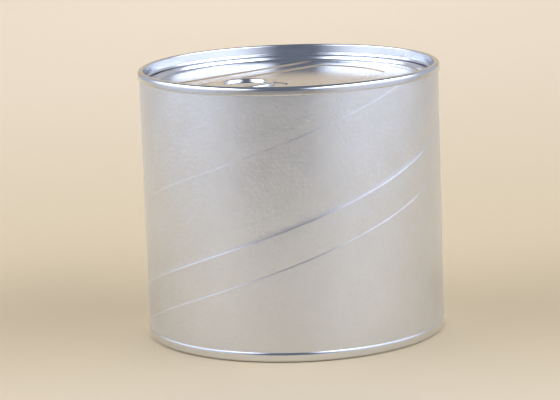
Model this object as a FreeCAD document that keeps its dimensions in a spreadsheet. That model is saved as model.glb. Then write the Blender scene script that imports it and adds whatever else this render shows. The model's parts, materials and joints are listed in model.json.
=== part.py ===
"""Paper can: a spiral-wound paper tube, shut by a metal end at each side.

The top end is an easy-open end with a ring-pull tab, which its rivet holds. The can is full and shut,
so the paper body is solid between its two ends.

Millimetres, +Z up. The origin is the centre of the circle that the can stands on.
The tab and the sunk shapes of the top end are drawn along X, with the tab's nose towards -X, and their
placements then turn them about Z.
"""

import FreeCAD
import Part
import Sketcher
import math
import os
import re

SIZES = [
    # The whole can
    ("overall_height", 91.1),
    ("body_radius", 50.7),
    ("body_wall", 1.2),
    ("sheet", 0.25),
    # The two double seams, each folded over the end of the paper wall
    ("top_seam_overhang", 0.5),
    ("top_seam_height", 2.9),
    ("bottom_seam_overhang", 0.25),
    ("bottom_seam_height", 3.3),
    ("wall_hook", 1.9),
    ("rim_outer_share", 0.66),
    ("rim_inner_share", 0.3),
    ("foot_outer_share", 0.6),
    ("foot_inner_share", 0.35),
    ("edge_share", 0.8),
    ("foot_slope_height", 0.8),
    ("foot_slope_radius", 1.5),
    # Top end: depths are measured down from the rim, radii from the axis
    ("shoulder_depth", 3.1),
    ("shoulder_drop", 0.5),
    ("shoulder_step", 0.3),
    ("chuck_lean", 0.4),
    ("groove_depth", 5.6),
    ("groove_width", 1.05),
    ("ledge_depth", 3.9),
    ("ledge_width", 1.6),
    ("ledge_run", 0.5),
    ("panel_depth", 4.9),
    ("score_width", 0.4),
    ("score_depth", 0.12),
    ("bend_radius", 0.3),
    # Sunk shapes of the top panel: a strip of a disc inside a strip of a disc
    ("sink_step", 0.3),
    ("outer_sink_half_width", 25.0),
    ("outer_sink_margin", 0.8),
    ("inner_sink_half_width", 17.2),
    ("inner_sink_margin", 9.8),
    ("sink_corner_radius", 4.0),
    ("bead_length", 12.0),
    ("bead_width", 1.3),
    ("bead_rise", 0.4),
    ("bead_gap", 4.0),
    # Ring-pull tab
    ("tab_angle", 43.0),
    ("ring_radius", 9.9),
    ("ring_band", 2.8),
    ("ring_to_rivet", 18.6),
    ("nose_radius", 5.4),
    ("nose_margin", 0.6),
    ("nose_hem", 1.2),
    ("tab_thickness", 1.7),
    ("tab_lift", 0.05),
    ("hem_share", 0.47),
    ("web_thickness", 0.5),
    # Rivet, drawn up out of the panel
    ("rivet_stem_radius", 2.2),
    ("rivet_clearance", 0.2),
    ("rivet_margin", 0.9),
    ("rivet_head_rise", 0.6),
    ("rivet_head_edge", 0.35),
    # Bottom end: heights are measured up from the foot
    ("foot_groove_depth", 4.4),
    ("foot_groove_width", 1.3),
    ("foot_panel_depth", 3.4),
    ("foot_bead_radius", 30.0),
    ("foot_bead_spacing", 9.0),
    ("foot_bead_width", 2.2),
    ("foot_bead_crown", 1.1),
    ("foot_bead_rise", 0.5),
]

# Heights and radii that more than one sub-part needs, worked out from the sizes above
DERIVED = [
    ("inner_radius", "body_radius - body_wall"),
    ("chuck_radius", "inner_radius - sheet"),
    ("top_seam_radius", "body_radius + top_seam_overhang"),
    ("bottom_seam_radius", "body_radius + bottom_seam_overhang"),
    ("rim_z", "overall_height"),
    ("rim_outer_radius", "rim_outer_share * (top_seam_radius - chuck_radius)"),
    ("rim_inner_radius", "rim_inner_share * (top_seam_radius - chuck_radius)"),
    ("foot_outer_radius", "foot_outer_share * (bottom_seam_radius - chuck_radius)"),
    ("foot_inner_radius", "foot_inner_share * (bottom_seam_radius - chuck_radius)"),
    ("top_edge_radius", "edge_share * top_seam_overhang"),
    ("top_hook_z", "rim_z - top_seam_height + wall_hook"),
    ("bottom_hook_z", "bottom_seam_height - wall_hook"),
    ("shoulder_radius", "chuck_radius - chuck_lean - shoulder_step"),
    ("groove_inner_radius", "shoulder_radius - groove_width"),
    ("score_radius", "groove_inner_radius - ledge_width / 2"),
    ("ledge_inner_radius", "groove_inner_radius - ledge_width"),
    ("panel_radius", "ledge_inner_radius - ledge_run"),
    ("outer_sink_radius", "panel_radius - outer_sink_margin"),
    ("inner_sink_radius", "outer_sink_radius - inner_sink_margin"),
    ("panel_z", "rim_z - panel_depth"),
    ("outer_sink_z", "panel_z - sink_step"),
    ("inner_sink_z", "outer_sink_z - sink_step"),
    ("fill_top_z", "rim_z - max(groove_depth; panel_depth + 2 * sink_step) - sheet"),
    ("fill_bottom_z", "foot_groove_depth + sheet"),
    ("nose_centre", "outer_sink_radius - nose_margin - nose_radius"),
    ("ring_centre", "nose_centre - ring_to_rivet"),
    ("finger_hole_radius", "ring_radius - ring_band"),
    ("hem_radius", "hem_share * tab_thickness"),
    ("web_radius", "nose_radius - nose_hem"),
    ("rivet_head_radius", "web_radius - rivet_margin"),
    ("tab_bottom_z", "outer_sink_z + tab_lift"),
    ("tab_top_z", "tab_bottom_z + tab_thickness"),
    ("web_recess", "(tab_thickness - web_thickness) / 2"),
    ("web_bottom_z", "tab_bottom_z + web_recess"),
    ("web_top_z", "web_bottom_z + web_thickness"),
    ("foot_groove_outer", "chuck_radius - chuck_lean"),
    ("foot_panel_radius", "foot_groove_outer - foot_groove_width"),
]

doc = FreeCAD.newDocument("PaperCan")


def make_sheet():
    """Write the driving sizes and the sizes that follow from them, each under its own alias."""
    sheet = doc.addObject("Spreadsheet::Sheet", "Sizes")
    row = 1
    for alias, value in SIZES:
        sheet.set(f"A{row}", alias)
        sheet.set(f"B{row}", str(value))
        sheet.setAlias(f"B{row}", alias)
        row += 1
    for alias, formula in DERIVED:
        sheet.set(f"A{row}", alias)
        sheet.set(f"B{row}", "=" + formula)
        sheet.setAlias(f"B{row}", alias)
        row += 1
    doc.recompute()
    return sheet


SHEET = make_sheet()
NAMES = {alias for alias, _ in SIZES + DERIVED}


def bound(formula):
    """A formula of plain aliases, written so that another object's property can be bound to it."""
    return re.sub(r"[a-z_]+", lambda word: "Sizes." + word[0] if word[0] in NAMES else word[0], formula)


def value(formula):
    """The number that a formula of aliases stands for."""
    return float(SHEET.evalExpression(formula))


def bind(thing, prop, formula):
    thing.setExpression(prop, bound(formula))


def new_body(label):
    body = doc.addObject("PartDesign::Body", label)
    body.Label = label
    return body


def new_sketch(body, name, role, height=None):
    """A sketch on one of the body's own origin planes, lifted along the plane's normal if need be."""
    sketch = body.newObject("Sketcher::SketchObject", name)
    plane = [item for item in body.Origin.OriginFeatures if item.Role == role][0]
    sketch.AttachmentSupport = [(plane, "")]
    sketch.MapMode = "FlatFace"
    if height is not None:
        bind(sketch, "AttachmentOffset.Base.z", height)
    doc.recompute()
    return sketch


def add_size(sketch, kind, targets, formula):
    """Add one dimension to a sketch and bind it to a formula."""
    index = sketch.addConstraint(Sketcher.Constraint(kind, *targets, value(formula)))
    sketch.setExpression(f"Constraints[{index}]", bound(formula))


def pin_point(sketch, edge, end, across, up):
    """Hold one end of an edge at two formulas, measured from the sketch's origin."""
    for kind, formula, axis in (("DistanceX", across, -2), ("DistanceY", up, -1)):
        if formula == "0":
            sketch.addConstraint(Sketcher.Constraint("PointOnObject", edge, end, axis))
        elif value(formula) > 0:
            add_size(sketch, kind, (-1, 1, edge, end), formula)
        else:
            add_size(sketch, kind, (edge, end, -1, 1), f"-({formula})")


def draw_polygon(sketch, corners):
    """A closed outline of straight edges. Each corner is a pair of formulas."""
    spots = [FreeCAD.Vector(value(across), value(up), 0) for across, up in corners]
    for index, spot in enumerate(spots):
        sketch.addGeometry(Part.LineSegment(spot, spots[(index + 1) % len(spots)]), False)
    for index in range(len(spots)):
        sketch.addConstraint(Sketcher.Constraint("Coincident", index, 2, (index + 1) % len(spots), 1))
    for index, (across, up) in enumerate(corners):
        pin_point(sketch, index, 1, across, up)


def draw_circle(sketch, across, radius):
    """A circle with its centre on the sketch's X axis."""
    centre = FreeCAD.Vector(value(across), 0, 0)
    edge = sketch.addGeometry(Part.Circle(centre, FreeCAD.Vector(0, 0, 1), value(radius)), False)
    pin_point(sketch, edge, 3, across, "0")
    add_size(sketch, "Radius", (edge,), radius)


def draw_strip_of_disc(sketch, half_width, radius):
    """Two straight sides along X, closed at both ends by arcs about the origin."""
    wide = value(half_width)
    round_radius = value(radius)
    long = math.sqrt(round_radius ** 2 - wide ** 2)
    turn = math.atan2(wide, long)
    along = FreeCAD.Vector(long, 0, 0)
    aside = FreeCAD.Vector(0, wide, 0)
    disc = Part.Circle(FreeCAD.Vector(0, 0, 0), FreeCAD.Vector(0, 0, 1), round_radius)
    sketch.addGeometry(Part.ArcOfCircle(disc, -turn, turn), False)
    sketch.addGeometry(Part.LineSegment(along + aside, aside - along), False)
    sketch.addGeometry(Part.ArcOfCircle(disc, math.pi - turn, math.pi + turn), False)
    sketch.addGeometry(Part.LineSegment(-along - aside, along - aside), False)
    for index in range(4):
        sketch.addConstraint(Sketcher.Constraint("Coincident", index, 2, (index + 1) % 4, 1))
    for arc in (0, 2):
        sketch.addConstraint(Sketcher.Constraint("Coincident", arc, 3, -1, 1))
    for side in (1, 3):
        sketch.addConstraint(Sketcher.Constraint("Horizontal", side))
    sketch.addConstraint(Sketcher.Constraint("Equal", 0, 2))
    add_size(sketch, "Radius", (0,), radius)
    add_size(sketch, "DistanceY", (-1, 1, 1, 1), half_width)
    add_size(sketch, "DistanceY", (3, 1, -1, 1), half_width)


def draw_pear(sketch, wide_centre, wide_radius, small_centre, small_radius):
    """Two circles on the X axis, both on its negative side, joined by the tangents that touch both."""
    wide_x = -value(wide_centre)
    small_x = -value(small_centre)
    wide = value(wide_radius)
    small = value(small_radius)
    lean = math.asin((wide - small) / (wide_x - small_x))
    side = FreeCAD.Vector(-math.sin(lean), math.cos(lean), 0)
    under = FreeCAD.Vector(side.x, -side.y, 0)
    wide_spot = FreeCAD.Vector(wide_x, 0, 0)
    small_spot = FreeCAD.Vector(small_x, 0, 0)
    up = FreeCAD.Vector(0, 0, 1)
    turn = math.pi / 2 + lean
    sketch.addGeometry(Part.ArcOfCircle(Part.Circle(wide_spot, up, wide), -turn, turn), False)
    sketch.addGeometry(Part.LineSegment(wide_spot + side * wide, small_spot + side * small), False)
    sketch.addGeometry(Part.ArcOfCircle(Part.Circle(small_spot, up, small), turn, 2 * math.pi - turn), False)
    sketch.addGeometry(Part.LineSegment(small_spot + under * small, wide_spot + under * wide), False)
    for index in range(4):
        sketch.addConstraint(Sketcher.Constraint("Tangent", index, 2, (index + 1) % 4, 1))
    pin_point(sketch, 0, 3, f"-({wide_centre})", "0")
    pin_point(sketch, 2, 3, f"-({small_centre})", "0")
    add_size(sketch, "Radius", (0,), wide_radius)
    add_size(sketch, "Radius", (2,), small_radius)


def draw_slot(sketch, across, half_length, half_width):
    """A slot that lies along the sketch's Y axis, its centre on the X axis."""
    x = value(across)
    y = value(half_length) - value(half_width)
    half = value(half_width)
    up = FreeCAD.Vector(0, 0, 1)
    near = FreeCAD.Vector(x, -y, 0)
    far = FreeCAD.Vector(x, y, 0)
    sideways = FreeCAD.Vector(half, 0, 0)
    sketch.addGeometry(Part.ArcOfCircle(Part.Circle(far, up, half), 0, math.pi), False)
    sketch.addGeometry(Part.LineSegment(far - sideways, near - sideways), False)
    sketch.addGeometry(Part.ArcOfCircle(Part.Circle(near, up, half), math.pi, 2 * math.pi), False)
    sketch.addGeometry(Part.LineSegment(near + sideways, far + sideways), False)
    for index in range(4):
        sketch.addConstraint(Sketcher.Constraint("Tangent", index, 2, (index + 1) % 4, 1))
    pin_point(sketch, 0, 3, across, f"{half_length} - {half_width}")
    pin_point(sketch, 2, 3, across, f"-({half_length} - {half_width})")
    add_size(sketch, "Radius", (0,), half_width)


def revolve(body, name, corners):
    """Turn an outline of radius and height about the body's Z axis."""
    sketch = new_sketch(body, name + "Outline", "XZ_Plane")
    draw_polygon(sketch, corners)
    turned = body.newObject("PartDesign::Revolution", name)
    turned.Profile = sketch
    turned.ReferenceAxis = (sketch, ["V_Axis"])
    turned.Angle = 360
    doc.recompute()
    return turned


def extrude(body, kind, name, height, length, way, draw, *formulas):
    """A Pad or Pocket, up or down from a height, of the outline that a drawing function makes."""
    sketch = new_sketch(body, name + "Outline", "XY_Plane", height)
    draw(sketch, *formulas)
    before = body.Shape.Volume if body.Tip else 0
    feature = body.newObject("PartDesign::" + kind, name)
    feature.Profile = sketch
    bind(feature, "Length", length)
    feature.Reversed = (way == "down") == (kind == "Pad")
    doc.recompute()
    gain = feature.Shape.Volume - before
    if (gain <= 0) == (kind == "Pad"):
        raise RuntimeError(f"{name} changed nothing")
    return feature


def round_edges(body, name, radius, wanted):
    """Fillet the edges of the body's last feature that the test picks."""
    base = body.Tip
    picked = [f"Edge{index + 1}" for index, edge in enumerate(base.Shape.Edges) if wanted(edge)]
    if not picked:
        raise RuntimeError(f"{name} found no edge")
    fillet = body.newObject("PartDesign::Fillet", name)
    fillet.Base = (base, picked)
    bind(fillet, "Radius", radius)
    doc.recompute()
    return fillet


def at_rings(*rings):
    """A test for round edges about Z, each ring given as formulas for its radius and its height."""
    spots = [(value(radius), value(height)) for radius, height in rings]

    def wanted(edge):
        curve = edge.Curve
        if not isinstance(curve, Part.Circle) or math.hypot(curve.Center.x, curve.Center.y) > 1e-6:
            return False
        return any(math.hypot(curve.Radius - r, curve.Center.z - z) < 1e-4 for r, z in spots)

    return wanted


def at_heights(*heights):
    """A test for edges that lie flat at given heights."""
    levels = [value(height) for height in heights]

    def wanted(edge):
        box = edge.BoundBox
        return box.ZLength < 1e-6 and any(abs(box.ZMin - level) < 1e-6 for level in levels)

    return wanted


def upright_between(low, high):
    """A test for upright straight edges that run from one height to another."""
    bottom = value(low)
    top = value(high)

    def wanted(edge):
        box = edge.BoundBox
        sideways = box.XLength + box.YLength
        return sideways < 1e-6 and abs(box.ZMin - bottom) < 1e-6 and abs(box.ZMax - top) < 1e-6

    return wanted


def make_paper_body():
    """The paper tube with what it holds: solid between the ends, its wall standing up into each seam."""
    body = new_body("paper_body")
    revolve(body, "WoundTube", [
        ("0", "fill_bottom_z"),
        ("inner_radius", "fill_bottom_z"),
        ("inner_radius", "bottom_hook_z"),
        ("body_radius", "bottom_hook_z"),
        ("body_radius", "top_hook_z"),
        ("inner_radius", "top_hook_z"),
        ("inner_radius", "fill_top_z"),
        ("0", "fill_top_z"),
    ])
    return body


def make_top_end():
    """The easy-open end: seam, chuck wall, groove, scored ledge, sunk panel and the rivet drawn from it."""
    body = new_body("top_end")
    revolve(body, "TopSheet", [
        ("0", "panel_z"),
        ("panel_radius", "panel_z"),
        ("ledge_inner_radius", "rim_z - ledge_depth"),
        ("score_radius - score_width / 2", "rim_z - ledge_depth"),
        ("score_radius", "rim_z - ledge_depth - score_depth"),
        ("score_radius + score_width / 2", "rim_z - ledge_depth"),
        ("groove_inner_radius", "rim_z - ledge_depth"),
        ("groove_inner_radius", "rim_z - groove_depth"),
        ("shoulder_radius", "rim_z - groove_depth"),
        ("shoulder_radius", "rim_z - shoulder_depth - shoulder_drop"),
        ("shoulder_radius + shoulder_step", "rim_z - shoulder_depth"),
        ("chuck_radius", "rim_z"),
        ("top_seam_radius", "rim_z"),
        ("top_seam_radius", "rim_z - top_seam_height"),
        ("body_radius", "rim_z - top_seam_height"),
        ("body_radius", "top_hook_z"),
        ("inner_radius", "top_hook_z"),
        ("inner_radius", "rim_z - shoulder_depth - shoulder_drop"),
        ("shoulder_radius + sheet", "rim_z - shoulder_depth - shoulder_drop - sheet"),
        ("shoulder_radius + sheet", "rim_z - groove_depth - sheet"),
        ("groove_inner_radius - sheet", "rim_z - groove_depth - sheet"),
        ("groove_inner_radius - sheet", "rim_z - ledge_depth - sheet"),
        ("ledge_inner_radius + sheet", "rim_z - ledge_depth - sheet"),
        ("panel_radius + sheet", "panel_z - sheet"),
        ("0", "panel_z - sheet"),
    ])
    round_edges(body, "SeamCrestOutside", "rim_outer_radius", at_rings(
        ("top_seam_radius", "rim_z"),
    ))
    round_edges(body, "SeamCrestInside", "rim_inner_radius", at_rings(
        ("chuck_radius", "rim_z"),
    ))
    round_edges(body, "SeamEdge", "top_edge_radius", at_rings(
        ("top_seam_radius", "rim_z - top_seam_height"),
    ))
    round_edges(body, "Bends", "bend_radius", at_rings(
        ("panel_radius", "panel_z"),
        ("ledge_inner_radius", "rim_z - ledge_depth"),
        ("groove_inner_radius", "rim_z - ledge_depth"),
        ("groove_inner_radius", "rim_z - groove_depth"),
        ("shoulder_radius", "rim_z - groove_depth"),
        ("shoulder_radius", "rim_z - shoulder_depth - shoulder_drop"),
    ))
    sink(body, "OuterSink", "outer_sink_half_width", "outer_sink_radius", "panel_z")
    sink(body, "InnerSink", "inner_sink_half_width", "inner_sink_radius", "outer_sink_z")
    add_rivet(body)
    add_finger_bead(body)
    bind(body, "Placement.Rotation.Angle", "tab_angle")
    return body


def sink(body, name, half_width, radius, level):
    """Sink a strip of a disc below a level by one step, the sheet keeping its thickness underneath."""
    extrude(body, "Pad", name + "Under", f"{level} - sheet", "sink_step", "down",
            draw_strip_of_disc, f"{half_width} + sheet", f"{radius} + sheet")
    extrude(body, "Pocket", name, level, "sink_step", "down", draw_strip_of_disc, half_width, radius)
    round_edges(body, name + "Corners", "sink_corner_radius", upright_between(f"{level} - sink_step", level))


def add_rivet(body):
    """The rivet that holds the tab's web: a boss under the web, a stem through it and a head over it."""
    stack = [
        ("RivetBoss", "outer_sink_z", "web_bottom_z - outer_sink_z", "rivet_head_radius"),
        ("RivetStem", "web_bottom_z", "web_thickness", "rivet_stem_radius"),
        ("RivetHead", "web_top_z", "rivet_head_rise", "rivet_head_radius"),
    ]
    for name, level, rise, radius in stack:
        extrude(body, "Pad", name, level, rise, "up", draw_circle, "-(nose_centre)", radius)
    round_edges(body, "RivetHeadEdge", "rivet_head_edge", at_heights("web_top_z + rivet_head_rise"))


def add_finger_bead(body):
    """The short raised bead across the panel in front of the ring."""
    extrude(body, "Pad", "FingerBead", "inner_sink_z", "bead_rise", "up",
            draw_slot, "ring_radius + bead_gap - ring_centre", "bead_length / 2", "bead_width / 2")


def make_pull_tab():
    """The ring-pull tab: one hemmed piece with a finger hole, a sunk web at the nose and a rivet hole."""
    body = new_body("pull_tab")
    extrude(body, "Pad", "TabBlank", "tab_bottom_z", "tab_thickness", "up",
            draw_pear, "ring_centre", "ring_radius", "nose_centre", "nose_radius")
    extrude(body, "Pocket", "FingerHole", "tab_top_z", "tab_thickness", "down",
            draw_circle, "-(ring_centre)", "finger_hole_radius")
    round_edges(body, "Hem", "hem_radius", at_heights("tab_bottom_z", "tab_top_z"))
    extrude(body, "Pocket", "WebTop", "tab_top_z", "web_recess", "down",
            draw_circle, "-(nose_centre)", "web_radius")
    extrude(body, "Pocket", "WebBottom", "tab_bottom_z", "web_recess", "up",
            draw_circle, "-(nose_centre)", "web_radius")
    extrude(body, "Pocket", "RivetHole", "web_top_z", "web_thickness", "down",
            draw_circle, "-(nose_centre)", "rivet_stem_radius + rivet_clearance")
    bind(body, "Placement.Rotation.Angle", "tab_angle")
    return body


def ring_bead(middle, level, widening):
    """The four corners of a raised ring's section, from its outer side to its inner side."""
    foot = f"(foot_bead_width + {widening}) / 2"
    crown = f"(foot_bead_crown + {widening}) / 2"
    return [
        (f"{middle} + {foot}", level),
        (f"{middle} + {crown}", f"{level} + foot_bead_rise"),
        (f"{middle} - {crown}", f"{level} + foot_bead_rise"),
        (f"{middle} - {foot}", level),
    ]


def make_bottom_end():
    """The plain end under the can: seam, chuck wall, groove and a panel with two raised rings."""
    body = new_body("bottom_end")
    middles = ["foot_bead_radius", "foot_bead_radius - foot_bead_spacing"]
    under_beads = [corner for middle in middles for corner in ring_bead(middle, "foot_panel_depth", "0")]
    over_beads = [corner for middle in middles
                  for corner in ring_bead(middle, "foot_panel_depth + sheet", "sheet")]
    revolve(body, "BottomSheet", [
        ("0", "foot_panel_depth + sheet"),
        *reversed(over_beads),
        ("foot_panel_radius - sheet", "foot_panel_depth + sheet"),
        ("foot_panel_radius - sheet", "foot_groove_depth + sheet"),
        ("foot_groove_outer + sheet", "foot_groove_depth + sheet"),
        ("foot_groove_outer + sheet", "bottom_seam_height"),
        ("inner_radius", "bottom_seam_height"),
        ("inner_radius", "bottom_hook_z"),
        ("body_radius", "bottom_hook_z"),
        ("body_radius", "bottom_seam_height"),
        ("bottom_seam_radius", "bottom_seam_height - foot_slope_height"),
        ("bottom_seam_radius", "0"),
        ("chuck_radius", "0"),
        ("foot_groove_outer", "bottom_seam_height"),
        ("foot_groove_outer", "foot_groove_depth"),
        ("foot_panel_radius", "foot_groove_depth"),
        ("foot_panel_radius", "foot_panel_depth"),
        *under_beads,
        ("0", "foot_panel_depth"),
    ])
    round_edges(body, "FootCrestOutside", "foot_outer_radius", at_rings(
        ("bottom_seam_radius", "0"),
    ))
    round_edges(body, "FootCrestInside", "foot_inner_radius", at_rings(
        ("chuck_radius", "0"),
    ))
    round_edges(body, "FootSeamSlope", "foot_slope_radius", at_rings(
        ("bottom_seam_radius", "bottom_seam_height - foot_slope_height"),
    ))
    round_edges(body, "FootBends", "bend_radius", at_rings(
        ("foot_groove_outer", "foot_groove_depth"),
        ("foot_panel_radius", "foot_groove_depth"),
        ("foot_panel_radius", "foot_panel_depth"),
    ))
    return body


def check_and_write(bodies):
    """Stop if anything failed to build, then write one STEP file for each sub-part."""
    doc.recompute()
    for item in doc.Objects:
        if "Invalid" in item.State or "Error" in item.State:
            raise RuntimeError(f"{item.Label} failed: {item.State}")
    for body in bodies:
        if body.Shape.isNull() or not body.Shape.isValid() or len(body.Shape.Solids) != 1:
            raise RuntimeError(f"{body.Label} is not one valid solid")
    os.makedirs("parts", exist_ok=True)
    for body in bodies:
        body.Shape.exportStep(f"parts/{body.Label}.step")
        box = body.Shape.BoundBox
        print(f"{body.Label}: volume {body.Shape.Volume:.1f}, z {box.ZMin:.3f} to {box.ZMax:.3f}")


check_and_write([make_paper_body(), make_top_end(), make_pull_tab(), make_bottom_end()])
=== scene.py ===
"""The looks of a shut paper can: a foil-faced wound tube between two seamed metal ends."""

import json
import math

import bmesh
import bpy
from mathutils import Matrix, Vector

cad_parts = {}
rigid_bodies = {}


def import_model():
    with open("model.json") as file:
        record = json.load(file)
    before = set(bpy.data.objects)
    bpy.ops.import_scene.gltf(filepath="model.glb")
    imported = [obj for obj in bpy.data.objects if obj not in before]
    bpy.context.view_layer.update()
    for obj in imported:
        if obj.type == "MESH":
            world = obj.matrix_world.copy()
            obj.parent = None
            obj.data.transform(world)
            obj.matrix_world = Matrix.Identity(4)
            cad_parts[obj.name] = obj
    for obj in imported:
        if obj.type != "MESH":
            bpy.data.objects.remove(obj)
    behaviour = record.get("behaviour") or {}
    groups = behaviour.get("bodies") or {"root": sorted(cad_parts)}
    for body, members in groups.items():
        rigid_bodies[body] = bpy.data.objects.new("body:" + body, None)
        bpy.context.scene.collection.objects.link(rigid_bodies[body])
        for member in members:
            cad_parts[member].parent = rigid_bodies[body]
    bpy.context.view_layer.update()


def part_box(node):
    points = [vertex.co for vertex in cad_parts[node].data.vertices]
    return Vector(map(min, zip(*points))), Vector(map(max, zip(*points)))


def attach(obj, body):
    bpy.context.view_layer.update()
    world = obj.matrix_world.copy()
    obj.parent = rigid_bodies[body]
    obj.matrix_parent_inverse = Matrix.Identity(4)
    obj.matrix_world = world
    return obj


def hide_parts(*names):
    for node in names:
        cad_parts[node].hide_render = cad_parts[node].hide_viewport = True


bl_info = {
    "name": "Paper can",
    "version": (1, 0, 0),
    "blender": (4, 5, 0),
    "location": "3D View > Sidebar > Paper can",
    "description": "Builds a foil-faced paper can with an easy-open end",
    "category": "Object",
}

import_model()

MM = 0.001
TUBE_LOW, TUBE_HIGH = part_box("paper_body")
_, TOP_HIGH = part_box("top_end")
_, BOTTOM_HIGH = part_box("bottom_end")
TAB_LOW, TAB_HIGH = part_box("pull_tab")

TURN_STEPS = 288   # flats in a full turn of a lathed or wound surface
ARC_STEP = math.radians(12)   # widest turn between two points of a rounded corner
WEB_DEPTH = 0.6 * MM   # how far the tab's web is sunk below its faces
WELD = 0.002 * MM   # points nearer than this are one point
WIDE_WELD = 0.005 * MM   # the same, for the cut tube and the mirrored tab
NARROW_WELD = 0.001 * MM   # the same, for the whole top end
LEVEL_SLACK = 0.0001 * MM   # points this near to a level count as on it
EDGE_STANDOFF = 0.02 * MM   # gap between the tube's face and the metal's edge at each seam
SHEET_SHARE = 0.9   # share of the sheet's thickness that both metal ends are given


def linear(code):
    """An sRGB hex colour as the linear values that Blender mixes."""
    values = [int(code[place:place + 2], 16) / 255 for place in (1, 3, 5)]
    return tuple(v / 12.92 if v <= 0.04045 else ((v + 0.055) / 1.055) ** 2.4 for v in values)


def length(name, description, default):
    """A size that a user can change, kept in metres."""
    return bpy.props.FloatProperty(name=name, description=description, default=default,
                                   unit="LENGTH", precision=5)


def colour(name, description, code):
    """A colour that a user can change."""
    return bpy.props.FloatVectorProperty(name=name, description=description, default=linear(code),
                                         subtype="COLOR", size=3, min=0, max=1)


class PaperCanSizes(bpy.types.PropertyGroup):
    """Sizes of the can. Depths are measured down from the rim."""
    rim_height: length("Rim height", "Height of the top seam's crest", TOP_HIGH.z)
    tube_radius: length("Tube radius", "Outside of the paper tube", TUBE_HIGH.x)
    tube_wall: length("Tube wall", "Thickness of the paper tube", 1.2 * MM)
    sheet: length("Sheet", "Thickness of the metal sheet", 0.25 * MM)
    top_seam_radius: length("Top seam radius", "Outside of the top seam", TOP_HIGH.x)
    top_seam_height: length("Top seam height", "Height of the top seam's fold", 2.9 * MM)
    bottom_seam_radius: length("Bottom seam radius", "Outside of the bottom seam", BOTTOM_HIGH.x)
    bottom_seam_height: length("Bottom seam height", "Height of the bottom seam's fold", 3.3 * MM)
    shoulder_depth: length("Shoulder depth", "Step in the chuck wall", 3.1 * MM)
    groove_depth: length("Groove depth", "Bottom of the groove round the panel", 5.6 * MM)
    ledge_depth: length("Ledge depth", "Scored ledge inside the groove", 3.9 * MM)
    panel_depth: length("Panel depth", "Top end's panel", 4.9 * MM)
    sink_step: length("Sink step", "Drop of each sunk shape of the panel", 0.3 * MM)
    sink_run: length("Sink run", "Width of the slope down to each sunk shape", 1.1 * MM)
    outer_sink_half_width: length("Outer sink half width", "Half the outer strip's width", 25 * MM)
    outer_sink_radius: length("Outer sink radius", "Round ends of the outer strip", 44.6 * MM)
    inner_sink_half_width: length("Inner sink half width", "Half the inner strip's width", 17.2 * MM)
    inner_sink_radius: length("Inner sink radius", "Round ends of the inner strip", 34.8 * MM)
    sink_corner: length("Sink corner", "Corners of the sunk strips", 4 * MM)
    tab_angle: bpy.props.FloatProperty(name="Tab angle",
                                       description="Turn of the tab and sinks about the axis",
                                       default=math.radians(43), subtype="ANGLE")
    ring_centre: length("Ring centre", "From the axis to the ring's centre", 20 * MM)
    ring_radius: length("Ring radius", "Outside of the tab's ring", 9.9 * MM)
    hem_run: length("Hem run", "Width over which the tab's edge rounds", 0.75 * MM)
    ring_band: length("Ring band", "Width of the ring's metal", 2.8 * MM)
    nose_centre: length("Nose centre", "From the axis to the rivet", 38.6 * MM)
    nose_radius: length("Nose radius", "Round end of the tab's nose", 5.4 * MM)
    winding_pitch: length("Winding pitch", "Rise of the foil strip in one turn", 117.2 * MM)


class PaperCanColours(bpy.types.PropertyGroup):
    """Colours of the can's surfaces."""
    foil: colour("Foil", "Aluminium foil on the tube", "#E6E9EE")
    tinplate: colour("Tinplate", "Tinned steel of both ends", "#E3E5E9")
    tab_metal: colour("Tab metal", "Sheet of the pull tab", "#E4E5E8")
    # Front, table, backdrop and top edge are one paper, lit and shaded: table and top edge are darker with
    # painted shade, front and backdrop are paler with painted light.
    front: colour("Front", "Paper in front of the can, paler with painted light", "#D3C2A7")
    table: colour("Table", "Paper under the can, darker with painted shade", "#C5B18F")
    backdrop: colour("Backdrop", "Paper half way back, paler with painted light", "#DACAB1")
    top_edge: colour("Top edge", "Paper at the back's top edge, darker with painted shade", "#B9AA94")


def rest():
    """Leave edit mode with nothing selected."""
    if bpy.context.object and bpy.context.object.mode != "OBJECT":
        bpy.ops.object.mode_set(mode="OBJECT")
    bpy.ops.object.select_all(action="DESELECT")


def new_piece(name, spot):
    """A new mesh object in edit mode that holds one selected point."""
    rest()
    bpy.ops.mesh.primitive_plane_add(size=MM, location=(0, 0, 0))
    piece = bpy.context.object
    piece.name = name
    piece.data.name = name
    bpy.ops.object.mode_set(mode="EDIT")
    bpy.ops.mesh.select_mode(type="VERT")
    bpy.ops.mesh.select_all(action="SELECT")
    bpy.ops.mesh.merge(type="CENTER")
    bpy.ops.transform.translate(value=spot)
    return piece


def add_point(spot):
    """One loose, selected point in the mesh that is being edited."""
    bpy.ops.mesh.select_mode(type="VERT")
    bpy.ops.mesh.select_all(action="DESELECT")
    bpy.ops.mesh.primitive_plane_add(size=MM, location=(0, 0, 0))
    bpy.ops.mesh.merge(type="CENTER")
    bpy.ops.transform.translate(value=spot)


def extrude_along(points):
    """Draw a line from the selected point through the rest of the points, and select all of it."""
    for start, end in zip(points, points[1:]):
        bpy.ops.mesh.extrude_region_move(TRANSFORM_OT_translate={"value": Vector(end) - Vector(start)})
    bpy.ops.mesh.select_linked()


def pick(kind, test):
    """Select only the vertices, edges or faces of the edited mesh that pass a test."""
    bpy.ops.mesh.select_all(action="DESELECT")
    bpy.ops.mesh.select_mode(type={"verts": "VERT", "edges": "EDGE", "faces": "FACE"}[kind])
    mesh = bmesh.from_edit_mesh(bpy.context.object.data)
    picked = [item for item in getattr(mesh, kind) if test(item)]
    if not picked:
        raise RuntimeError("nothing to select")
    for item in picked:
        item.select_set(True)
    mesh.select_flush_mode()
    bmesh.update_edit_mesh(bpy.context.object.data)


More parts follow.
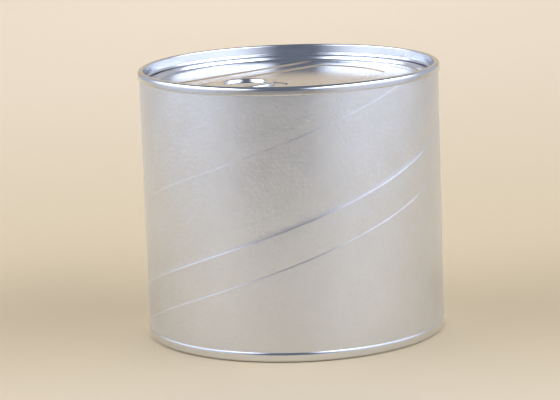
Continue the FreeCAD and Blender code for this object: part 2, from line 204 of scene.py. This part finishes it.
def rounded_line(corners):
    """An open outline through corners of (across, up, radius), each inner corner rounded."""
    points = [Vector(corners[0][:2])]
    for before, corner, after in zip(corners, corners[1:], corners[2:]):
        spot = Vector(corner[:2])
        into = (Vector(before[:2]) - spot).normalized()
        onward = (Vector(after[:2]) - spot).normalized()
        radius = corner[2]
        if not radius:
            points.append(spot)
            continue
        half = into.angle(onward) / 2
        centre = spot + (into + onward).normalized() * radius / math.sin(half)
        start = spot + into * radius / math.tan(half) - centre
        turn = math.pi - 2 * half
        if into.cross(onward) > 0:
            turn = -turn
        steps = max(2, math.ceil(abs(turn) / ARC_STEP))
        for step in range(steps + 1):
            points.append(centre + Matrix.Rotation(turn * step / steps, 2) @ start)
    points.append(Vector(corners[-1][:2]))
    return points


def upright(outline, across=0):
    """An outline of (across, up) set upright in the XZ plane, from an axis that stands at a place on X."""
    return [Vector((across + point[0], 0, point[1])) for point in outline]


def spin_round(across=0, steps=TURN_STEPS):
    """Turn the selected line once about an upright axis and close the seam."""
    bpy.ops.mesh.spin(steps=steps, angle=2 * math.pi, center=(across, 0, 0), axis=(0, 0, 1))
    bpy.ops.mesh.select_all(action="SELECT")
    bpy.ops.mesh.remove_doubles(threshold=WELD)


def apply_modifier(piece, kind, **settings):
    """Add one modifier, set it up and apply it."""
    bpy.ops.object.modifier_add(type=kind)
    modifier = piece.modifiers[-1]
    for name, value in settings.items():
        setattr(modifier, name, value)
    bpy.ops.object.modifier_apply(modifier=modifier.name)


def finish_piece(piece, node, material, smooth=40):
    """Give a piece its material, its smooth shading and its place in the frame."""
    rest()
    piece.select_set(True)
    bpy.context.view_layer.objects.active = piece
    bpy.ops.object.transform_apply(location=True, rotation=True, scale=True)
    bpy.ops.object.shade_smooth_by_angle(angle=math.radians(smooth))
    piece.data.materials.clear()
    piece.data.materials.append(material)
    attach(piece, "root")
    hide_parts(node)


# Materials

def add_node(tree, kind, links=(), **settings):
    """Add one shader node. Settings name its properties, or its inputs where it has no such property."""
    node = tree.nodes.new(kind)
    for name, value in settings.items():
        if hasattr(node, name):
            setattr(node, name, value)
        else:
            node.inputs[name.replace("_", " ")].default_value = value
    for source, socket in links:
        tree.links.new(source, node.inputs[socket])
    return node


def new_material(name):
    """An empty node material with its output and a shader."""
    material = bpy.data.materials.new(name)
    material.use_nodes = True
    tree = material.node_tree
    tree.nodes.clear()
    shader = tree.nodes.new("ShaderNodeBsdfPrincipled")
    output = tree.nodes.new("ShaderNodeOutputMaterial")
    tree.links.new(shader.outputs["BSDF"], output.inputs["Surface"])
    return material, tree, shader


def foil_material(tint):
    """Aluminium foil rolled thin, stuck to wound paper: the paper's fibres show through as a fine mottle,
    so that it gives a broad satin gleam and no clear reflection."""
    material, tree, shader = new_material("Aluminium foil laminated to paper, satin")
    fibre_size = 1.1 * MM
    cloud_size = 9 * MM
    place = add_node(tree, "ShaderNodeTexCoord").outputs["Object"]
    fibre = add_node(tree, "ShaderNodeTexNoise", [(place, "Vector")], Scale=1 / fibre_size, Detail=4,
                     Roughness=0.65)
    cloud = add_node(tree, "ShaderNodeTexNoise", [(place, "Vector")], Scale=1 / cloud_size, Detail=3,
                     Roughness=0.6)
    blend = add_node(tree, "ShaderNodeMix", [(fibre.outputs["Fac"], "A"), (cloud.outputs["Fac"], "B")],
                     data_type="FLOAT", Factor=0.5)
    shade = add_node(tree, "ShaderNodeValToRGB", [(blend.outputs["Result"], "Fac")])
    shade.color_ramp.elements[0].position = 0.3
    shade.color_ramp.elements[0].color = (*[c * 0.93 for c in tint], 1)
    shade.color_ramp.elements[1].position = 0.7
    shade.color_ramp.elements[1].color = (*tint, 1)
    dull = add_node(tree, "ShaderNodeMapRange", [(blend.outputs["Result"], "Value")],
                    From_Min=0.3, From_Max=0.7, To_Min=0.3, To_Max=0.36)
    waves = add_node(tree, "ShaderNodeBump", [(cloud.outputs["Fac"], "Height")], Strength=0.5,
                     Distance=0.35 * MM)
    bump = add_node(tree, "ShaderNodeBump",
                    [(fibre.outputs["Fac"], "Height"), (waves.outputs["Normal"], "Normal")],
                    Strength=0.42, Distance=0.2 * MM)
    tree.links.new(shade.outputs["Color"], shader.inputs["Base Color"])
    tree.links.new(dull.outputs["Result"], shader.inputs["Roughness"])
    tree.links.new(bump.outputs["Normal"], shader.inputs["Normal"])
    shader.inputs["Metallic"].default_value = 1
    return material


def bright_sheet_material(name, tint, roughness):
    """Rolled sheet with a bright finish: nearly a mirror, with faint rolling streaks along one way."""
    material, tree, shader = new_material(name)
    place = add_node(tree, "ShaderNodeTexCoord").outputs["Object"]
    stretch = add_node(tree, "ShaderNodeMapping", [(place, "Vector")])
    stretch.inputs["Scale"].default_value = (1 / 40, 1, 1)
    streak = add_node(tree, "ShaderNodeTexNoise", [(stretch.outputs["Vector"], "Vector")],
                      Scale=1 / (0.6 * MM), Detail=2, Roughness=0.5)
    dull = add_node(tree, "ShaderNodeMapRange", [(streak.outputs["Fac"], "Value")],
                    From_Min=0.3, From_Max=0.7, To_Min=roughness * 0.8, To_Max=roughness * 1.25)
    bump = add_node(tree, "ShaderNodeBump", [(streak.outputs["Fac"], "Height")], Strength=0.05,
                    Distance=0.01 * MM)
    tree.links.new(dull.outputs["Result"], shader.inputs["Roughness"])
    tree.links.new(bump.outputs["Normal"], shader.inputs["Normal"])
    shader.inputs["Base Color"].default_value = (*tint, 1)
    shader.inputs["Metallic"].default_value = 1
    return material


def lamp_material(strength):
    """Cloth of a soft lamp, cool white: brightest at the bulb's height, and clear towards its edges."""
    material = bpy.data.materials.new("Lit cloth")
    material.use_nodes = True
    tree = material.node_tree
    tree.nodes.clear()
    cloth = add_node(tree, "ShaderNodeTexCoord").outputs["UV"]
    split = add_node(tree, "ShaderNodeSeparateXYZ", [(cloth, "Vector")])
    side_fade = ("X", 0.5, 0.08, 0.5, 0)
    end_fade = ("Y", 0.5, 0.36, 0.5, 0)
    bulb_glow = ("Y", 0.6, 0.05, 0.28, 0.17)
    falls = []
    for axis, middle, inner, outer, least in (side_fade, end_fade, bulb_glow):
        offset = add_node(tree, "ShaderNodeMath", [(split.outputs[axis], 0)], operation="SUBTRACT")
        offset.inputs[1].default_value = middle
        away = add_node(tree, "ShaderNodeMath", [(offset.outputs[0], 0)], operation="ABSOLUTE")
        fall = add_node(tree, "ShaderNodeMapRange", [(away.outputs[0], "Value")],
                        interpolation_type="SMOOTHSTEP", From_Min=inner, From_Max=outer,
                        To_Min=1, To_Max=least)
        falls.append(fall.outputs["Result"])
    whole = add_node(tree, "ShaderNodeMath", [(falls[0], 0), (falls[1], 1)], operation="MULTIPLY")
    bright = add_node(tree, "ShaderNodeMath", [(falls[2], 0)], operation="MULTIPLY")
    bright.inputs[1].default_value = strength
    glow = add_node(tree, "ShaderNodeEmission", [(bright.outputs[0], "Strength")])
    glow.inputs["Color"].default_value = (*linear("#E5EDFF"), 1)
    clear = add_node(tree, "ShaderNodeBsdfTransparent")
    mixed = add_node(tree, "ShaderNodeMixShader", [(whole.outputs[0], 0), (clear.outputs[0], 1),
                                                   (glow.outputs[0], 2)])
    add_node(tree, "ShaderNodeOutputMaterial", [(mixed.outputs[0], "Surface")])
    return material


def backdrop_material():
    """The sweep's matt paper with painted light and shade: darker under the can and at its top edge, where
    shade is painted, and paler in front and half way back, where light is painted.
    """
    material, tree, shader = new_material("Matt paper sweep")
    shading_start = -0.2
    shading_end = 1.2
    table_share = 0.14
    backdrop_share = 0.74
    place = add_node(tree, "ShaderNodeTexCoord").outputs["Object"]
    split = add_node(tree, "ShaderNodeSeparateXYZ", [(place, "Vector")])
    back = add_node(tree, "ShaderNodeMapRange", [(split.outputs["Y"], "Value")],
                    From_Min=shading_start, From_Max=shading_end)
    # This ramp along the sweep paints shade under the can and at the top edge, and paints light in front and
    # half way back.
    shade = add_node(tree, "ShaderNodeValToRGB", [(back.outputs["Result"], "Fac")])
    shade.color_ramp.interpolation = "EASE"
    shade.color_ramp.elements.new(table_share)
    shade.color_ramp.elements.new(backdrop_share)
    lit_and_shaded_tints = (colours().front, colours().table, colours().backdrop, colours().top_edge)
    for element, tint in zip(shade.color_ramp.elements, lit_and_shaded_tints):
        element.color = (*tint, 1)
    tree.links.new(shade.outputs["Color"], shader.inputs["Base Color"])
    shader.inputs["Roughness"].default_value = 0.9
    return material


def sizes():
    return bpy.context.scene.paper_can_sizes


def colours():
    return bpy.context.scene.paper_can_colours


# Pieces

LAP_FADE = 14   # widths over which the step of a lap dies away
# Lines that show in the foil: height on the near side, depth, width and kind. A lap is a step, where
# one strip lies over the next. A butt is a shallow valley, where two plies meet underneath.
WINDING_LINES = [
    (73.3 * MM, 0.035 * MM, 0.35 * MM, "lap"),
    (51.8 * MM, 0.01 * MM, 0.7 * MM, "butt"),
    (44.6 * MM, 0.1 * MM, 0.5 * MM, "lap"),
    (32.2 * MM, 0.08 * MM, 0.4 * MM, "lap"),
    (26.2 * MM, 0.012 * MM, 0.7 * MM, "butt"),
]


def winding_relief(height, pitch):
    """How far the foil stands in from the tube's radius, at a height on the wound strip."""
    relief = 0
    for line, depth, width, kind in WINDING_LINES:
        away = (height - line + pitch / 2) % pitch - pitch / 2
        if kind == "butt":
            if abs(away) < width:
                relief += depth * (1 + math.cos(math.pi * away / width)) / 2
        elif 0 <= away < LAP_FADE * width:
            relief += depth * min(1, away / width) * (1 - away / (LAP_FADE * width))
    return relief


class PAPER_CAN_OT_make_tube(bpy.types.Operator):
    """Wind the foil-faced tube: a strip's section is turned and raised about the axis, then cut level"""
    bl_idname = "paper_can.make_tube"
    bl_label = "Foil-faced tube"

    def execute(self, context):
        size = sizes()
        pitch = size.winding_pitch
        fine = 0.12 * MM
        fine_widths = 1.2
        coarse_steps = 60
        heights = {0.0, pitch}
        heights.update(pitch * step / coarse_steps for step in range(coarse_steps))
        for line, _, width, kind in WINDING_LINES:
            reach = int(fine_widths * width / fine) + 1
            heights.update(line + fine * step for step in range(-1 if kind == "lap" else -reach, reach))
        strip = [Vector((size.tube_radius - winding_relief(up, pitch), 0, up - pitch))
                 for up in sorted(heights)]
        strip = [Matrix.Rotation(-math.pi / 2, 3, "Z") @ point for point in strip]
        piece = new_piece("foil_tube", strip[0])
        extrude_along(strip)
        bpy.ops.object.mode_set(mode="OBJECT")
        apply_modifier(piece, "SCREW", angle=2 * math.pi, screw_offset=pitch, iterations=2,
                       steps=TURN_STEPS, render_steps=TURN_STEPS)
        bpy.ops.object.mode_set(mode="EDIT")
        for level, normal in ((TUBE_LOW.z, (0, 0, -1)), (TUBE_HIGH.z, (0, 0, 1))):
            bpy.ops.mesh.select_all(action="SELECT")
            bpy.ops.mesh.bisect(plane_co=(0, 0, level), plane_no=normal, clear_outer=True)
        bpy.ops.mesh.select_all(action="SELECT")
        bpy.ops.mesh.remove_doubles(threshold=WIDE_WELD)
        bpy.ops.mesh.normals_make_consistent(inside=False)
        bpy.ops.object.mode_set(mode="OBJECT")
        apply_modifier(piece, "SOLIDIFY", thickness=size.tube_wall, offset=-1)
        bpy.ops.object.mode_set(mode="EDIT")
        end_band = 0.6 * MM
        for level in (TUBE_LOW.z, TUBE_HIGH.z):
            pick("verts", lambda vert: abs(vert.co.z - level) < end_band)
            bpy.ops.transform.resize(value=(1, 1, 0), center_override=(0, 0, level))
        bpy.ops.object.mode_set(mode="OBJECT")
        finish_piece(piece, "paper_body", foil_material(colours().foil), smooth=60)
        return {"FINISHED"}


def strip_of_disc(half_width, radius, corner):
    """The outline of a disc cut to a strip along X, its four corners rounded."""
    corner_across = math.sqrt((radius - corner) ** 2 - (half_width - corner) ** 2)
    corner_turn = math.atan2(half_width - corner, corner_across)
    end_steps = 24
    corner_steps = 12
    quarter = []
    for step in range(end_steps):
        turn = corner_turn * step / end_steps
        quarter.append(Vector((radius * math.cos(turn), radius * math.sin(turn), 0)))
    for step in range(corner_steps + 1):
        turn = corner_turn + (math.pi / 2 - corner_turn) * step / corner_steps
        quarter.append(Vector((corner_across + corner * math.cos(turn),
                               half_width - corner + corner * math.sin(turn), 0)))
    half = quarter + [Vector((-point.x, point.y, 0)) for point in reversed(quarter)]
    return half + [-point for point in half[1:-1]]


def sink_shape(outline, level, step, run):
    """Fill an outline at a level, press it down by a step over a run, and return its floor's level."""
    line = [Vector((point.x, point.y, level)) for point in outline]
    add_point(line[0])
    extrude_along(line)
    bpy.ops.mesh.edge_face_add()
    mesh = bmesh.from_edit_mesh(bpy.context.object.data)
    if any(face.select and face.normal.z < 0 for face in mesh.faces):
        bpy.ops.mesh.flip_normals()
    press(step, run)
    return level - step


def press(drop, run, steps=6):
    """Press the selected face down along a smooth S-shaped edge, or up where the drop is negative."""
    done = 0
    for count in range(1, steps + 1):
        share = (1 - math.cos(math.pi * count / steps)) / 2
        bpy.ops.mesh.inset(thickness=run / steps, depth=-(share - done) * drop)
        done = share


def open_floor(level):
    """Take away the widest face that lies at a level, so that its outline becomes an open edge."""
    mesh = bmesh.from_edit_mesh(bpy.context.object.data)
    floors = [face for face in mesh.faces if all(abs(vert.co.z - level) < LEVEL_SLACK for vert in face.verts)]
    widest = max(face.calc_area() for face in floors)
    pick("faces", lambda face: all(abs(vert.co.z - level) < LEVEL_SLACK for vert in face.verts)
         and face.calc_area() > widest * 0.999)
    bpy.ops.mesh.delete(type="ONLY_FACE")


def fill_between(level):
    """Fill the flat ring between the open edges that lie at a level."""
    pick("edges", lambda edge: len(edge.link_faces) < 2
         and all(abs(vert.co.z - level) < LEVEL_SLACK for vert in edge.verts))
    bpy.ops.mesh.fill(use_beauty=True)


class PAPER_CAN_OT_make_top_end(bpy.types.Operator):
    """Make the easy-open end: a lathed rim round a panel with two sunk shapes, a bead and a rivet"""
    bl_idname = "paper_can.make_top_end"
    bl_label = "Easy-open top end"

    def execute(self, context):
        size = sizes()
        rim = size.rim_height
        chuck = size.tube_radius - size.tube_wall - size.sheet
        shoulder = chuck - 0.7 * MM
        groove = shoulder - 1.05 * MM
        ledge = rim - size.ledge_depth
        score = groove - 0.8 * MM
        score_half_width = 0.2 * MM
        inner = groove - 1.6 * MM
        panel = rim - size.panel_depth
        seam_foot = rim - size.top_seam_height
        seam = size.top_seam_radius - chuck
        outline = rounded_line([
            (inner - 0.9 * MM, panel, 0),
            (inner - 0.5 * MM, panel, 0.3 * MM),
            (inner, ledge, 0.3 * MM),
            (score - score_half_width, ledge, 0.05 * MM),
            (score, ledge - 0.12 * MM, 0.05 * MM),
            (score + score_half_width, ledge, 0.05 * MM),
            (groove, ledge, 0.35 * MM),
            (groove, rim - size.groove_depth, 0.5 * MM),
            (shoulder, rim - size.groove_depth, 0.5 * MM),
            (shoulder, rim - size.shoulder_depth - 0.5 * MM, 0.2 * MM),
            (shoulder + 0.3 * MM, rim - size.shoulder_depth, 0.3 * MM),
            (chuck, rim, 0.3 * seam),
            (size.top_seam_radius, rim, 0.66 * seam),
            (size.top_seam_radius, seam_foot, 0.35 * MM),
            (size.tube_radius + EDGE_STANDOFF, seam_foot, 0.12 * MM),
            (size.tube_radius + EDGE_STANDOFF, seam_foot + 1.6 * MM, 0),
        ])
        line = upright(outline)
        piece = new_piece("easy_open_end", line[0])
        extrude_along(line)
        spin_round()
        outer_strip = strip_of_disc(size.outer_sink_half_width, size.outer_sink_radius, size.sink_corner)
        outer_floor = sink_shape(outer_strip, panel, size.sink_step, size.sink_run)
        fill_between(panel)
        open_floor(outer_floor)
        inner_strip = strip_of_disc(size.inner_sink_half_width, size.inner_sink_radius, size.sink_corner)
        inner_floor = sink_shape(inner_strip, outer_floor, size.sink_step, size.sink_run)
        self.add_rivet(size, outer_floor)
        fill_between(outer_floor)
        open_floor(inner_floor)
        self.add_bead(size, inner_floor)
        fill_between(inner_floor)
        bpy.ops.mesh.select_all(action="SELECT")
        bpy.ops.mesh.remove_doubles(threshold=NARROW_WELD)
        bpy.ops.mesh.normals_make_consistent(inside=False)
        bpy.ops.object.mode_set(mode="OBJECT")
        apply_modifier(piece, "SOLIDIFY", thickness=size.sheet * SHEET_SHARE, offset=-1)
        piece.rotation_euler.z = size.tab_angle
        finish_piece(piece, "top_end",
                     bright_sheet_material("Tinned steel sheet, bright", colours().tinplate, 0.15))
        apply_modifier(piece, "WEIGHTED_NORMAL", keep_sharp=True, weight=80)
        return {"FINISHED"}

    def add_rivet(self, size, floor):
        """Draw the rivet up out of the sunk panel: boss, stem and a head with a dimple."""
        web_low = TAB_LOW.z + WEB_DEPTH
        web_high = TAB_HIGH.z - WEB_DEPTH
        head_top = web_high + 0.6 * MM
        dimple = web_high + 0.35 * MM
        head = 3.3 * MM
        stem = 2.2 * MM
        line = upright(rounded_line([
            (head, floor, 0),
            (head, web_low, 0.1 * MM),
            (stem, web_low, 0),
            (stem, web_high, 0),
            (head, web_high, 0.1 * MM),
            (head, head_top, 0.35 * MM),
            (1.9 * MM, head_top, 0.2 * MM),
            (1.5 * MM, dimple, 0.2 * MM),
            (0, dimple, 0),
        ]), -size.nose_centre)
        add_point(line[0])
        extrude_along(line)
        rivet_steps = 64
        spin_round(-size.nose_centre, rivet_steps)

    def add_bead(self, size, floor):
        """Raise the short bead across the panel in front of the ring."""
        across = size.ring_radius + 4 * MM - size.ring_centre
        half_width = 0.65 * MM
        half_length = 6 * MM
        straight = half_length - half_width
        rise = 0.3 * MM
        run = 0.55 * MM
        turns = [math.pi / 2 * step / 8 for step in range(9)]
        outline = [Vector((half_width * math.cos(turn), straight + half_width * math.sin(turn), 0))
                   for turn in turns]
        outline += [Vector((-point.x, point.y, 0)) for point in reversed(outline[:-1])]
        outline += [-point for point in outline]
        sink_shape([Vector((across, 0, 0)) + point for point in outline], floor, -rise, run)


class PAPER_CAN_OT_make_pull_tab(bpy.types.Operator):
    """Make the ring-pull tab: a pear-shaped blank with hemmed edges, a finger hole and a sunk web"""
    bl_idname = "paper_can.make_pull_tab"
    bl_label = "Ring-pull tab"

    def execute(self, context):
        size = sizes()
        low = TAB_LOW.z
        high = TAB_HIGH.z
        middle = (low + high) / 2
        half = (high - low) / 2
        blank = 0.02 * MM
        rest()
        bpy.ops.mesh.primitive_cylinder_add(vertices=160, radius=size.ring_radius, depth=blank,
                                            location=(-size.ring_centre, 0, blank / 2))
        piece = bpy.context.object
        piece.name = "ring_pull_tab"
        piece.data.name = "ring_pull_tab"
        bpy.ops.object.transform_apply(location=True)
        bpy.ops.object.mode_set(mode="EDIT")
        bpy.ops.mesh.select_all(action="DESELECT")
        bpy.ops.mesh.primitive_cylinder_add(vertices=96, radius=size.nose_radius, depth=blank,
                                            location=(-size.nose_centre, 0, blank / 2))
        bpy.ops.mesh.select_all(action="SELECT")
        bpy.ops.mesh.convex_hull()
        bpy.ops.mesh.select_all(action="SELECT")
        bpy.ops.mesh.dissolve_limited(angle_limit=math.radians(0.5))
        bpy.ops.object.mode_set(mode="OBJECT")
        self.cut(piece, -size.ring_centre, size.ring_radius - size.ring_band, -half, half, 128)
        bpy.ops.object.mode_set(mode="EDIT")
        pick("faces", lambda face: face.normal.z < 0.5)
        bpy.ops.mesh.delete(type="FACE")
        bpy.ops.mesh.select_all(action="SELECT")
        steps = 10
        for step in range(steps):
            start = math.pi / 2 * step / steps
            end = math.pi / 2 * (step + 1) / steps
            bpy.ops.mesh.inset(thickness=size.hem_run * (math.cos(start) - math.cos(end)),
                               depth=(half - blank) * (math.sin(end) - math.sin(start)))
        bpy.ops.mesh.select_all(action="SELECT")
        bpy.ops.transform.translate(value=(0, 0, -blank))
        bpy.ops.object.mode_set(mode="OBJECT")
        apply_modifier(piece, "MIRROR", use_axis=(False, False, True), merge_threshold=WIDE_WELD)
        bpy.ops.object.mode_set(mode="EDIT")
        bpy.ops.mesh.select_all(action="SELECT")
        bpy.ops.mesh.remove_doubles(threshold=WELD)
        bpy.ops.mesh.normals_make_consistent(inside=False)
        bpy.ops.transform.translate(value=(0, 0, middle))
        bpy.ops.object.mode_set(mode="OBJECT")
        web = size.nose_radius - 1.2 * MM
        rivet_hole = 2.4 * MM
        self.cut(piece, -size.nose_centre, web, high - WEB_DEPTH, high + half, 64)
        self.cut(piece, -size.nose_centre, web, low - half, low + WEB_DEPTH, 64)
        self.cut(piece, -size.nose_centre, rivet_hole, low - half, high + half, 48)
        piece.rotation_euler.z = size.tab_angle
        finish_piece(piece, "pull_tab",
                     bright_sheet_material("Aluminium sheet, bright rolled", colours().tab_metal, 0.12), 50)
        apply_modifier(piece, "WEIGHTED_NORMAL", keep_sharp=True, weight=80)
        return {"FINISHED"}

    def cut(self, piece, across, radius, low, high, vertices):
        """Cut a round hole or recess from one height to another."""
        bpy.ops.mesh.primitive_cylinder_add(vertices=vertices, radius=radius, depth=high - low,
                                            location=(across, 0, (low + high) / 2))
        punch = bpy.context.object
        bpy.ops.object.select_all(action="DESELECT")
        piece.select_set(True)
        bpy.context.view_layer.objects.active = piece
        apply_modifier(piece, "BOOLEAN", object=punch, operation="DIFFERENCE", solver="EXACT")
        bpy.data.objects.remove(punch)


class PAPER_CAN_OT_make_bottom_end(bpy.types.Operator):
    """Make the plain bottom end: a lathed seam, groove and panel with two raised rings"""
    bl_idname = "paper_can.make_bottom_end"
    bl_label = "Bottom end"

    def execute(self, context):
        size = sizes()
        chuck = size.tube_radius - size.tube_wall - size.sheet
        wall = chuck - 0.2 * MM
        panel_edge = wall - 1.3 * MM
        groove = 4.4 * MM
        panel = 3.4 * MM
        top = size.bottom_seam_height
        seam = size.bottom_seam_radius - chuck
        overhang = size.bottom_seam_radius - size.tube_radius
        corners = [
            (size.tube_radius + EDGE_STANDOFF, top, 0),
            (size.bottom_seam_radius - 0.4 * overhang, top - 0.25 * MM, 0.5 * MM),
            (size.bottom_seam_radius, top - 0.8 * MM, 1.5 * MM),
            (size.bottom_seam_radius, 0, 0.6 * seam),
            (chuck, 0, 0.35 * seam),
            (wall, top, 0.2 * MM),
            (wall, groove, 0.55 * MM),
            (panel_edge, groove, 0.55 * MM),
            (panel_edge, panel, 0.3 * MM),
        ]
        ring_middles = (30 * MM, 21 * MM)
        for middle in ring_middles:
            for away, rise in ((1.1, 0), (0.55, 0.5), (-0.55, 0.5), (-1.1, 0)):
                corners.append((middle + away * MM, panel + rise * MM, 0.4 * MM))
        corners.append((0, panel, 0))
        line = upright(rounded_line(corners))
        piece = new_piece("plain_end", line[0])
        extrude_along(line)
        spin_round()
        bpy.ops.mesh.normals_make_consistent(inside=False)
        bpy.ops.object.mode_set(mode="OBJECT")
        apply_modifier(piece, "SOLIDIFY", thickness=size.sheet * SHEET_SHARE, offset=-1)
        finish_piece(piece, "bottom_end",
                     bright_sheet_material("Tinned steel sheet, bright, of the bottom end",
                                           colours().tinplate, 0.15))
        apply_modifier(piece, "WEIGHTED_NORMAL", keep_sharp=True, weight=80)
        return {"FINISHED"}


class PAPER_CAN_OT_make_stage(bpy.types.Operator):
    """Set up the pale sweep, the soft lamps at both sides and over the back, the sky and the camera"""
    bl_idname = "paper_can.make_stage"
    bl_label = "Stage"

    def execute(self, context):
        self.add_sweep()
        self.add_side_lamp("left_lamp", (-0.32, -0.79), (-0.82, 0.7), 7.8)
        self.add_side_lamp("right_lamp", (0.11, -0.85), (0.9, 0.5), 8.2)
        self.add_back_lamp()
        self.add_sky(context.scene)
        self.add_camera(context.scene)
        context.scene.view_settings.view_transform = "Standard"
        return {"FINISHED"}

    def add_sweep(self):
        """One sheet of pale paper that lies under the can, ends in front of it and curves up behind it."""
        front_edge = (-0.78, 0, 0)
        bend = (1.3, 0, 0.7)
        top_edge = (1.6, 1.6, 0)
        outline = rounded_line([front_edge, bend, top_edge])
        half_width = 0.6
        line = [Vector((-half_width, point[0], point[1])) for point in outline]
        sweep = new_piece("sweep", line[0])
        extrude_along(line)
        bpy.ops.mesh.extrude_region_move(TRANSFORM_OT_translate={"value": (2 * half_width, 0, 0)})
        bpy.ops.mesh.select_all(action="SELECT")
        bpy.ops.mesh.normals_make_consistent(inside=False)
        rest()
        sweep.select_set(True)
        bpy.context.view_layer.objects.active = sweep
        bpy.ops.object.shade_smooth()
        sweep.data.materials.append(backdrop_material())

    def add_side_lamp(self, name, near_end, far_end, strength):
        """An upright soft lamp beside the table, from one end to the other, dim towards its edges."""
        low = -0.04
        high = 0.95
        start = Vector((*near_end, low))
        along = Vector((*far_end, low)) - start
        rest()
        bpy.ops.mesh.primitive_plane_add(size=1)
        lamp = bpy.context.object
        lamp.name = name
        lamp.scale = (along.length, high - low, 1)
        lamp.rotation_euler = (math.pi / 2, 0, math.atan2(along.y, along.x))
        lamp.location = start + along / 2 + Vector((0, 0, (high - low) / 2))
        bpy.ops.object.transform_apply(location=True, rotation=True, scale=True)
        lamp.data.materials.append(lamp_material(strength))
        lamp.visible_camera = False

    def add_back_lamp(self):
        """A square soft lamp over the table's back, which lights the paper behind the can."""
        bpy.ops.object.light_add(type="AREA", location=(0, 0.9, 1), rotation=(math.radians(20), 0, 0))
        lamp = bpy.context.object
        lamp.name = "back_lamp"
        lamp.data.shape = "SQUARE"
        lamp.data.size = 0.8
        lamp.data.energy = 7.5
        lamp.visible_camera = False
        lamp.visible_glossy = False

    def add_sky(self, scene):
        """Soft light from all round, which the camera sees as the pale backdrop's colour."""
        world = bpy.data.worlds.new("Studio")
        scene.world = world
        world.use_nodes = True
        tree = world.node_tree
        tree.nodes.clear()
        rays = add_node(tree, "ShaderNodeLightPath")
        seen = add_node(tree, "ShaderNodeBackground", Strength=1)
        seen.inputs["Color"].default_value = (*linear("#F0E2CE"), 1)
        way = add_node(tree, "ShaderNodeTexCoord").outputs["Generated"]
        split = add_node(tree, "ShaderNodeSeparateXYZ", [(way, "Vector")])
        behind = add_node(tree, "ShaderNodeMapRange", [(split.outputs["Y"], "Value")],
                          interpolation_type="SMOOTHSTEP", From_Min=-0.7, From_Max=0.2)
        above = add_node(tree, "ShaderNodeMapRange", [(split.outputs["Z"], "Value")],
                         interpolation_type="SMOOTHSTEP", From_Min=0.4, From_Max=0.9)
        level = add_node(tree, "ShaderNodeMix", [(behind.outputs["Result"], "Factor")], data_type="RGBA")
        level.inputs["A"].default_value = (*linear("#666D7C"), 1)
        level.inputs["B"].default_value = (*linear("#B9BDC8"), 1)
        whole = add_node(tree, "ShaderNodeMix", [(above.outputs["Result"], "Factor"),
                                                 (level.outputs["Result"], "A")], data_type="RGBA")
        whole.inputs["B"].default_value = (*linear("#6E7480"), 1)
        lit = add_node(tree, "ShaderNodeBackground", [(whole.outputs["Result"], "Color")], Strength=1)
        mixed = add_node(tree, "ShaderNodeMixShader", [(rays.outputs["Is Camera Ray"], 0),
                                                       (lit.outputs[0], 1), (seen.outputs[0], 2)])
        add_node(tree, "ShaderNodeOutputWorld", [(mixed.outputs[0], "Surface")])

    def add_camera(self, scene):
        """Look down on the can from the side where its tab's ring shows over the rim."""
        bpy.ops.object.camera_add()
        camera = bpy.context.object
        camera.name = "camera"
        pitch = math.radians(11.13)
        yaw = math.radians(-0.29)
        roll = math.radians(-2.01)
        ahead = Vector((math.sin(yaw) * math.cos(pitch), math.cos(yaw) * math.cos(pitch),
                        -math.sin(pitch)))
        level = Vector((math.cos(yaw), -math.sin(yaw), 0))
        above = level.cross(ahead)
        across = math.cos(roll) * level + math.sin(roll) * above
        up = -math.sin(roll) * level + math.cos(roll) * above
        turned = Matrix((across, up, -ahead)).transposed().to_4x4()
        stand = (0, -0.8712, 0.2157)
        camera.matrix_world = Matrix.Translation(stand) @ turned
        camera.data.sensor_width = 36
        camera.data.lens = 166.75
        camera.data.clip_start = 0.01
        scene.camera = camera


class PAPER_CAN_PT_panel(bpy.types.Panel):
    """Buttons that build the can, piece by piece"""
    bl_idname = "PAPER_CAN_PT_panel"
    bl_label = "Paper can"
    bl_space_type = "VIEW_3D"
    bl_region_type = "UI"
    bl_category = "Paper can"

    def draw(self, context):
        for operator in OPERATORS:
            self.layout.operator(operator.bl_idname)
        for group in (context.scene.paper_can_sizes, context.scene.paper_can_colours):
            box = self.layout.box()
            for name in group.__annotations__:
                box.prop(group, name)


OPERATORS = (
    PAPER_CAN_OT_make_tube,
    PAPER_CAN_OT_make_top_end,
    PAPER_CAN_OT_make_pull_tab,
    PAPER_CAN_OT_make_bottom_end,
    PAPER_CAN_OT_make_stage,
)
CLASSES = (PaperCanSizes, PaperCanColours, *OPERATORS, PAPER_CAN_PT_panel)


def register():
    for entry in CLASSES:
        bpy.utils.register_class(entry)
    bpy.types.Scene.paper_can_sizes = bpy.props.PointerProperty(type=PaperCanSizes)
    bpy.types.Scene.paper_can_colours = bpy.props.PointerProperty(type=PaperCanColours)


def unregister():
    del bpy.types.Scene.paper_can_colours
    del bpy.types.Scene.paper_can_sizes
    for entry in reversed(CLASSES):
        bpy.utils.unregister_class(entry)


def main():
    register()
    bpy.ops.paper_can.make_tube()
    bpy.ops.paper_can.make_top_end()
    bpy.ops.paper_can.make_pull_tab()
    bpy.ops.paper_can.make_bottom_end()
    bpy.ops.paper_can.make_stage()
    rest()


if __name__ == "__main__":
    main()
